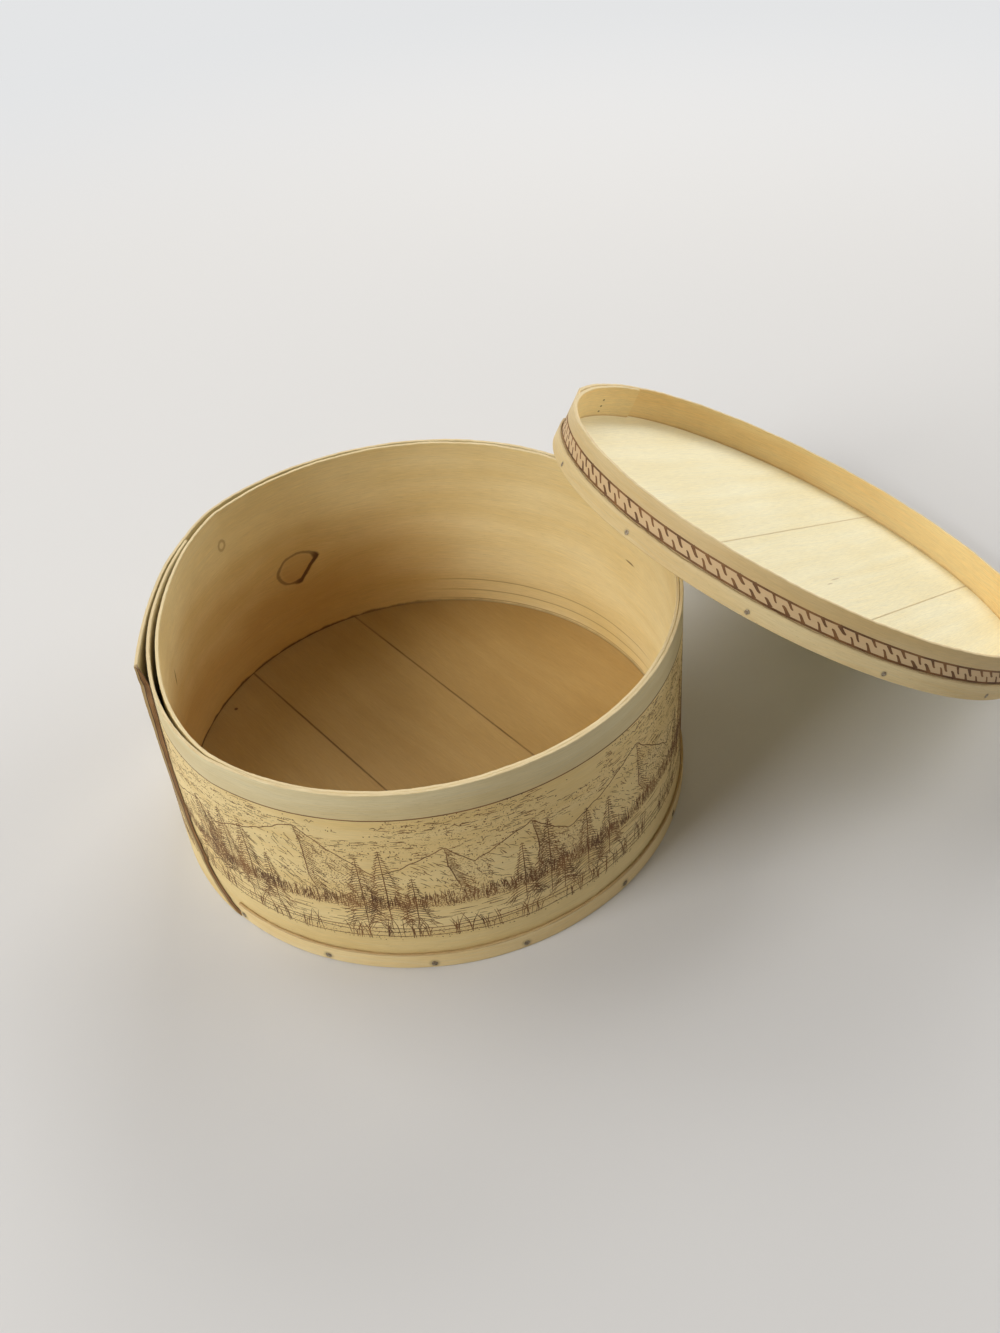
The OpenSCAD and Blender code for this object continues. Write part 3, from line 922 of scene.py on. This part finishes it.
hoop_thick = 0.002
hoop_ease = 0.0005
step_shade_brown = srgb(150, 114, 70)
nail_stain = srgb(104, 80, 50)
heads_apart = 0.008
hoop_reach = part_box("bottom_hoop")[1].x
hoop_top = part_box("bottom_hoop")[1].z
hoop_ends = (math.radians(200.9), math.radians(436.2))
hoop_stain = 0.0075
hoop_pale = srgb(238, 218, 168)
hoop_tan = srgb(223, 194, 134)
hoop_nails_at = fastener_spots("hoop_nails", heads_apart)
bottom_hoop = hoop_band(
    "bottom_hoop_band", hoop_reach, hoop_ends, hoop_top, (0.00015, 0.7), 1.6, (3, 7), (850, 12))
stain_by(bottom_hoop, hoop_reach, hoop_nails_at, hoop_stain)
bottom_hoop_wood = hoop_wood("foot_hoop_wood", 81, hoop_pale, hoop_tan, hoop_top, 0.6)
dress(bottom_hoop, bottom_hoop_wood, "box", "hoop_wood", "bottom_hoop")


# Nails and tacks. Cut steel with hammered, slightly domed heads gone dull and brown; the
# nails pass through hoop and side into the boards, the tacks through the laps.
def hammered(name, spots, seat_at, head, thick, shank, to_frame=Matrix.Identity(4)):
    """One piece with a domed head and a stub of shank at each direction and height."""
    build = bmesh.new()
    chance = np.random.default_rng(len(spots))
    around = 20
    stub = 0.003
    askew = 0.06
    profile = ((shank, -stub), (shank, 0), (head, 0), (head, thick * 0.45), (head * 0.75, thick * 0.85))
    turns = [2 * math.pi * k / around for k in range(around)]
    for angle, high in spots:
        lean = (Matrix.Rotation(chance.uniform(-askew, askew), 4, "X")
                @ Matrix.Rotation(chance.uniform(-askew, askew), 4, "Y"))
        place = (Matrix.Rotation(angle, 4, "Z") @ Matrix.Translation((seat_at(angle, high), 0, high))
                 @ Matrix.Rotation(math.pi / 2, 4, "Y") @ lean)
        dents = chance.uniform(0.93, 1.07, around)
        rings = []
        for wide, out in profile:
            flat = [(wide * d * math.cos(t), wide * d * math.sin(t)) for t, d in zip(turns, dents)]
            rings.append([build.verts.new(place @ Vector((x, y, out))) for x, y in flat])
        for low, up in zip(rings, rings[1:]):
            for k in range(around):
                build.faces.new((low[k], low[k - 1], up[k - 1], up[k]))
        build.faces.new(rings[0])
        build.faces.new(rings[-1][::-1])
    bmesh.ops.recalc_face_normals(build, faces=build.faces)
    build.transform(to_frame)
    mesh = bpy.data.meshes.new(name)
    build.to_mesh(mesh)
    build.free()
    smooth_but_sharp(mesh, 50)
    return put_in_scene(name, mesh)


grey_steel = srgb(158, 148, 128)
brown_steel = srgb(112, 92, 66)
dull_steel, shade, shader = bare_material("dull_nail_steel")
spot = shade.node("TexCoord", output="Object")
mottle = shade.node("TexNoise", inputs={"Vector": spot, "Scale": 900.0, "Detail": 3.0})
colour = mottle.step(0.35, 0.65).blend(grey_steel, brown_steel)
feed(shade, shader, Base_Color=colour, Roughness=0.45 + mottle * 0.3, Metallic=0.4,
     Normal=bump(shade, mottle, 0.0002))
# A head's radius and thickness, and the radius of the shank.
nail_head = (0.0023, 0.0005, 0.0009)
tack_head = (0.0018, 0.0004, 0.0006)
hoop_nails = hammered("hoop_nail_heads", hoop_nails_at, lambda angle, high: hoop_reach, *nail_head)
dress(hoop_nails, dull_steel, "box", "dull_steel", "hoop_nails")


def lap_seat(radius_at, tall):
    """Gives a lap's outer face at a tack; the lap lies a whole turn on from its strip's first end."""
    return lambda angle, high: float(radius_at(np.array(angle + 2 * math.pi), np.array(high / tall)))


side_tacks_at = fastener_spots("side_lap_tacks", heads_apart)
side_lap = lap_seat(outer_radius, side_top)
side_tacks = hammered("side_lap_tack_heads", side_tacks_at, side_lap, *tack_head)
dress(side_tacks, dull_steel, "box", "dull_steel", "side_lap_tacks")


# The lid's rim. One bent strip that climbs over its own first end and is tacked there. The
# lid is built flat about its own middle with its outer face down, and then leaned: its face
# lies on the box's rim and its lower edge stands on the floor.
lean_aside = -0.030
lid_hoop_reach = lean_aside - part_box("lid_hoop")[0].y
lean_over = 0.072
lean_gap = 0.0003
lean_length = 2 * lid_hoop_reach - lean_over
lean = math.asin((side_top + lean_gap) / lean_length)
lean_foot = lean_length - lid_hoop_reach
lid_middle = Vector((box_reach + lean_foot * math.cos(lean), lean_aside, lid_hoop_reach * math.sin(lean)))
lid_place = Matrix.Translation(lid_middle) @ Matrix.Rotation(lean, 4, "Y")

lid_tall = 0.0355
lid_thick = 0.0035
lid_reach = lid_hoop_reach - hoop_thick - wood_gap
lid_rise = lid_thick + wood_gap
lid_first = math.radians(102.2)
lid_climb = (math.radians(50 + 360), math.radians(51))
lid_lap = math.radians(30)
lid_scarf = 0.010
lid_wave = 0.0001
lid_grid = (1200, 9)
lid_ease = 0.0005


def lid_radius(angle, up):
    """The rim's outer face, round up to its climb and again past it."""
    climb = np.clip((angle - lid_climb[0]) / lid_climb[1], 0, 1)
    return lid_reach + lid_rise * climb**2 * (3 - 2 * climb) + lid_wave * wander(angle, 1.1, 6) + 0 * up


lid_rim = bent_strip(
    "lid_rim_strip", lid_reach,
    lambda share, up: lid_first + share * (sum(lid_climb) + lid_lap - lid_first) + 0 * up,
    lid_radius,
    lambda angle: lid_tall + ragged(angle * lid_reach, 12),
    lambda angle: 0 * angle,
    lid_thick, lid_ease, *lid_grid, lambda up: (lid_scarf, 0))
lid_rim.data.transform(lid_place)
lid_border = (0.0132, 0.0239)
border_fade = 0.0004
border_brown = srgb(204, 172, 134)
lid_pale = srgb(212, 192, 146)
lid_tan = srgb(196, 169, 117)
lid_cut = srgb(226, 206, 160)
lit_golden_pale = srgb(253, 230, 172)
lit_golden_tan = srgb(244, 208, 140)
joint_brown = srgb(198, 152, 90)
tack_ends_run = math.radians(116) * lid_reach
tack_end_highs = (0.0125, 0.0175, 0.0233)
tack_end_size = (0.0019, 0.0009)
tack_end_brown = srgb(104, 74, 44)
lid_wood, shade, shader = bare_material("lid_rim_wood")
run, rise = run_and_rise(shade)
colour, height = peeled_wood(shade, run, rise, 101, lid_pale, lid_tan)
# Inside, the rim is a brighter copy of its wood, as painted light, with a dark joint at the boards and the
# ends of its lap's tacks.
inside = attribute(shade, "inside")
lit_inside = peeled_wood(shade, run, rise, 108, lit_golden_pale, lit_golden_tan, 0.7)[0]
joint_line = (1 - (rise + noise(shade, run * 60, 0.0, 4, 3) * 0.003).step(0.0088, 0.0104)) * 0.35
lit_inside = joint_line.blend(lit_inside, joint_brown)
for high in tack_end_highs:
    lit_inside = fleck(lit_inside, run, rise, (tack_ends_run, high), tack_end_size, 0.6, 0.8, tack_end_brown)
colour = inside.blend(colour, lit_inside)
# Outside, the wood is browner where the border is drawn.
above_foot = rise.step(lid_border[0], lid_border[0] + border_fade)
below_top = 1 - rise.step(lid_border[1] - border_fade, lid_border[1])
band = above_foot * below_top * (1 - inside)
colour = (band * 0.6).blend(colour, border_brown)
colour = (attribute(shade, "edge") * 0.6).blend(colour, lid_cut)
wood_finish(shade, shader, colour, height, 0.58, 0.00010, 0.35)
dress(lid_rim, lid_wood, "lid", "lid_ply", "lid_rim")


# The lid's burnt border. A rope of hooked strokes between two lines, drawn with the same hot
# point round the rim above its hoop; it breaks off at the end of the rim's lap.
rope_lines = (0.0141, 0.0239)
rope_middle = sum(rope_lines) / 2
rope_tall = rope_lines[1] - rope_lines[0]
rope_margin = 0.002
rope_to = (sum(lid_climb) + lid_lap) * lid_reach - rope_margin
rope_from = rope_to - 2 * math.pi * lid_reach + lid_scarf + 2 * rope_margin
rope_turns = 103
rope_pitch = (rope_to - rope_from) / rope_turns
hook = np.array(((-0.26, 0.5), (-0.15, 0.36), (-0.04, 0.22), (0.07, 0.09), (0.17, 0.01), (0.25, -0.02)))
hook_width = np.array((0.0028, 0.0022, 0.0019, 0.0017, 0.0014, 0.0007))
hook_lag = 0.28
rope_pen = 0.0015
border = []
rope_runs = np.arange(rope_from, rope_to, 0.004)
for high in rope_lines:
    line = high + 0.00015 * wander(rope_runs, 0.1, high * 700)
    border.append(mark(np.column_stack((rope_runs, line)), rope_pen, 0.9))
for number in range(2 * rope_turns):
    way = 1 if number % 2 else -1
    run = rope_from + ((number + 0.5) / 2 - way * hook_lag / 2) * rope_pitch
    uneven = chance.uniform(0.75, 1.15)
    spots = way * hook * (rope_pitch * uneven, rope_tall * chance.uniform(0.85, 1.15))
    spots[:, 1] += rope_middle + way * rope_tall / 2 - spots[0, 1]
    spots[:, 0] += run + chance.uniform(-0.0008, 0.0008)
    border.append((spots, hook_width * uneven))
lid_rope = burn("burnt_lid_rope", border, lid_reach, lid_radius, lid_tall)
lid_rope.data.transform(lid_place)
lid_rope.data.materials.append(burnt_brown)
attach(lid_rope, "lid")


# The lid's boards. Three thin sawn boards, paler than the rest, laid edge to edge in the
# rim and held there by the nails of the hoop.
lid_board_reach = lid_reach - lid_thick - wood_gap
lid_board_thick = 0.0085


def lid_board_edge(direction):
    """The lid's boards are cut to the rim's inner face, also where it climbs over its first end."""
    turn = (direction - lid_first) % (2 * math.pi) + lid_first
    return float(lid_radius(np.array(turn), 0.0)) - lid_thick - wood_gap


lid_across = math.radians(113)
lid_board_middle = -0.048
lid_board_half = 0.058
lid_seams = (lid_board_middle - lid_board_half, lid_board_middle + lid_board_half)
lid_slits = (((0.0335, -0.0567), (0.0105, 0.0007)), ((0.052, -0.060), (0.006, 0.0006)))
lid_slit_brown = srgb(168, 136, 84)
lid_seam_brown = srgb(188, 150, 94)
lid_board_pale = srgb(251, 243, 206)
lid_board_tan = srgb(244, 231, 185)
for number, (near, far) in side_by_side(lid_board_reach, lid_seams):
    board = plank(
        f"lid_plank_{number}", lid_board_reach, lid_board_edge,
        lid_board_thick, near, far, lid_across)
    board.data.transform(lid_place)
    board_wood, shade, shader = bare_material(f"lid_board_wood_{number}")
    run, rise = run_and_rise(shade)
    seed = 120 + 7 * number
    colour, height = peeled_wood(shade, run, rise, seed, lid_board_pale, lid_board_tan, 0.9)
    for at, size in lid_slits:
        colour = fleck(colour, run, rise, at, size, 0.5, 0.5, lid_slit_brown)
    for seam in lid_seams:
        crack = seam_line(shade, run, rise, seam, number, 0.0003, 0.0012)
        colour = (crack * 0.35).blend(colour, lid_seam_brown)
    wood_finish(shade, shader, colour, height, 0.6, 0.00010, 0.3)
    dress(board, board_wood, "lid", "lid_boards", f"lid_board_{number}")


# The lid's hoop. A narrow split band round the rim at the lid's face, like the one at the
# foot of the box; nails go through it and the rim into the edges of the boards.
lid_from_frame = lid_place.inverted()
lid_nails_at = fastener_spots("lid_nails", heads_apart, lid_from_frame)
lid_hoop_top = 0.013
lid_hoop_ends = (math.radians(136.9), math.radians(409.2))
lid_hoop_stain = 0.0048
lid_hoop_pale = srgb(222, 203, 156)
lid_hoop_tan = srgb(206, 180, 126)
lid_hoop = hoop_band(
    "lid_hoop_band", lid_hoop_reach, lid_hoop_ends, lid_hoop_top, (0.00012, 0.8), 1.4, (8, 14), (950, 11))
stain_by(lid_hoop, lid_hoop_reach, lid_nails_at, lid_hoop_stain)
lid_hoop.data.transform(lid_place)
lid_hoop_wood = hoop_wood("lid_hoop_wood", 141, lid_hoop_pale, lid_hoop_tan, lid_hoop_top, 0.3)
dress(lid_hoop, lid_hoop_wood, "lid", "hoop_wood", "lid_hoop")


# The lid's nails and tacks. They are of the same dull steel as the box's, with smaller nail
# heads; the tacks stand in a row through the rim's lap.
lid_nail_head = (0.0018, 0.0004, 0.0008)
lid_nails = hammered(
    "lid_nail_heads", lid_nails_at, lambda angle, high: lid_hoop_reach, *lid_nail_head, lid_place)
dress(lid_nails, dull_steel, "lid", "dull_steel", "lid_nails")
lid_tacks_apart = 0.005
lid_tacks_at = fastener_spots("lid_lap_tacks", lid_tacks_apart, lid_from_frame)
rim_lap = lap_seat(lid_radius, lid_tall)
lid_tacks = hammered("lid_lap_tack_heads", lid_tacks_at, rim_lap, *tack_head, lid_place)
dress(lid_tacks, dull_steel, "lid", "dull_steel", "lid_lap_tacks")
